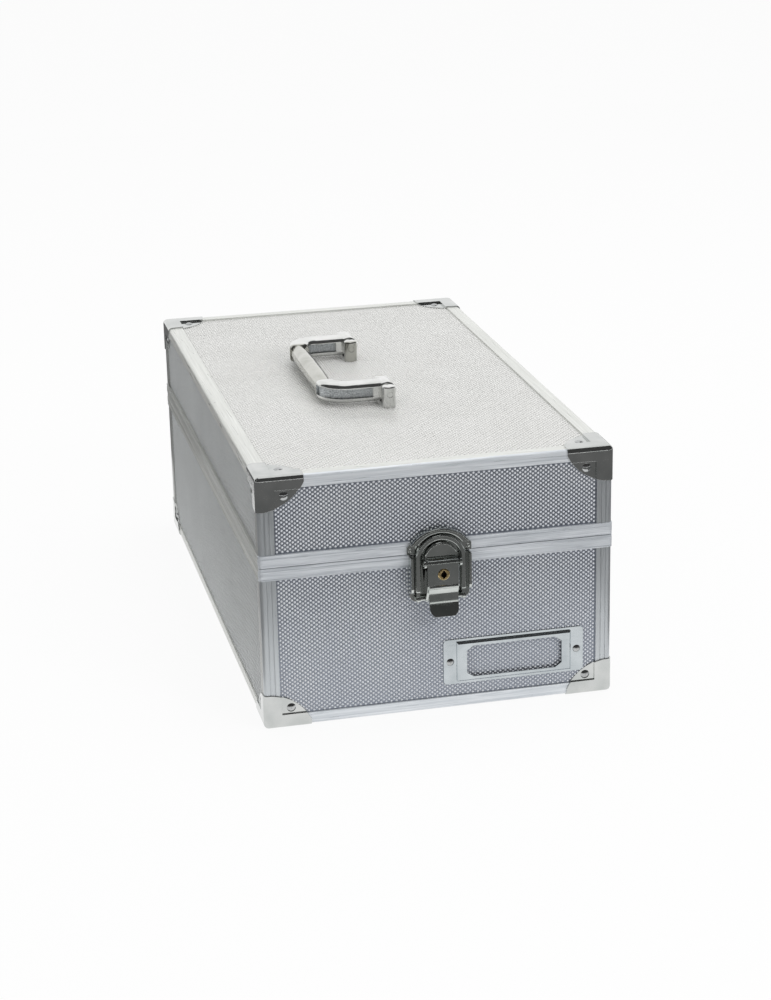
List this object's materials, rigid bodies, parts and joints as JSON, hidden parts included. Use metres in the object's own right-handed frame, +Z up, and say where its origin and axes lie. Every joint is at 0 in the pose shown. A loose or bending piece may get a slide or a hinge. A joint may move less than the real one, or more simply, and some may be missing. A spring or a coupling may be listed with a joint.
{
  "type": "postcard storage case",
  "caption": "Long aluminium-trimmed case with a hinged lid, a keyed draw latch in front, a folding carrying handle, chrome corner caps and a card holder.",
  "frame": {"origin": "centre of the overall footprint, on the surface that the case stands on", "axes": "+Z up, -Y towards the latch side, +Y towards the hinges, +X to the right seen from the latch side"},
  "size_m": [0.1812, 0.3384, 0.1435],
  "materials": {
    "trim": "brushed, anodised profile",
    "dot_skin": "embossed with fine raised dots, satin",
    "board": "plain fibre board",
    "cap_chrome": "bright pressed steel",
    "handle_chrome": "bright casting, sanded recesses",
    "latch_chrome": "dark bright plating",
    "holder_chrome": "bright pressed sheet",
    "lock_brass": "turned",
    "hinge_steel": "plated, brushed",
    "fastener_steel": "plated",
    "lining": "black felt"
  },
  "bodies": {
    "case_body": {"body_back_panel": "board", "body_back_skin": "dot_skin", "body_bottom_panel": "board", "body_bottom_skin": "dot_skin", "body_bottom_trims": "trim", "body_cap_back_left": "cap_chrome", "body_cap_back_right": "cap_chrome", "body_cap_front_left": "cap_chrome", "body_cap_front_right": "cap_chrome", "body_cap_rivets": "fastener_steel", "body_corner_trims": "trim", "body_front_panel": "board", "body_front_skin": "dot_skin", "body_left_panel": "board", "body_left_skin": "dot_skin", "body_lining": "lining", "body_right_panel": "board", "body_right_skin": "dot_skin", "body_rim_trims": "trim", "hinge_body_leaves": "hinge_steel", "hinge_body_rivets": "fastener_steel", "hinge_pins": "hinge_steel", "label_holder": "holder_chrome", "label_holder_rivets": "fastener_steel", "latch_base": "latch_chrome", "latch_base_rivets": "fastener_steel", "latch_lever_pin": "latch_chrome"},
    "lid": {"handle_mounts": "handle_chrome", "handle_pins": "handle_chrome", "handle_screws": "fastener_steel", "hinge_lid_leaves": "hinge_steel", "hinge_lid_rivets": "fastener_steel", "latch_keeper": "latch_chrome", "latch_keeper_rivets": "fastener_steel", "lid_back_panel": "board", "lid_back_skin": "dot_skin", "lid_cap_back_left": "cap_chrome", "lid_cap_back_right": "cap_chrome", "lid_cap_front_left": "cap_chrome", "lid_cap_front_right": "cap_chrome", "lid_cap_rivets": "fastener_steel", "lid_corner_trims": "trim", "lid_front_panel": "board", "lid_front_skin": "dot_skin", "lid_left_panel": "board", "lid_left_skin": "dot_skin", "lid_lining": "lining", "lid_right_panel": "board", "lid_right_skin": "dot_skin", "lid_rim_trims": "trim", "lid_top_panel": "board", "lid_top_skin": "dot_skin", "lid_top_trims": "trim"},
    "handle": {"handle": "handle_chrome"},
    "lever": {"latch_lever": "latch_chrome", "latch_loop_pins": "latch_chrome"},
    "loop": {"latch_loop": "latch_chrome"},
    "lock": {"lock_cam": "latch_chrome", "lock_cylinder": "lock_brass"}
  },
  "joints": [
    {"name": "lid_hinge", "type": "hinge", "parent": "case_body", "child": "lid", "pos_m": [0, 0.16683, 0.0856], "axis": [-1, 0, 0], "range_deg": [0, 100]},
    {"name": "handle_hinge", "type": "hinge", "parent": "lid", "child": "handle", "pos_m": [0, 0.00358, 0.1383], "axis": [0, 1, 0], "range_deg": [0, 180]},
    {"name": "latch_lever", "type": "hinge", "parent": "case_body", "child": "lever", "pos_m": [0, -0.16473, 0.0826], "axis": [-1, 0, 0], "range_deg": [0, 100]},
    {"name": "latch_loop", "type": "hinge", "parent": "lever", "child": "loop", "pos_m": [0, -0.16032, 0.0629], "axis": [1, 0, 0], "range_deg": [0, 110]},
    {"name": "lock_turn", "type": "hinge", "parent": "lever", "child": "lock", "pos_m": [0, -0.1645, 0.0773], "axis": [0, -1, 0], "range_deg": [0, 90]}
  ],
  "couplings": [
    {"joint": "latch_loop", "follows": "latch_lever", "ratio": 1.1}
  ]
}
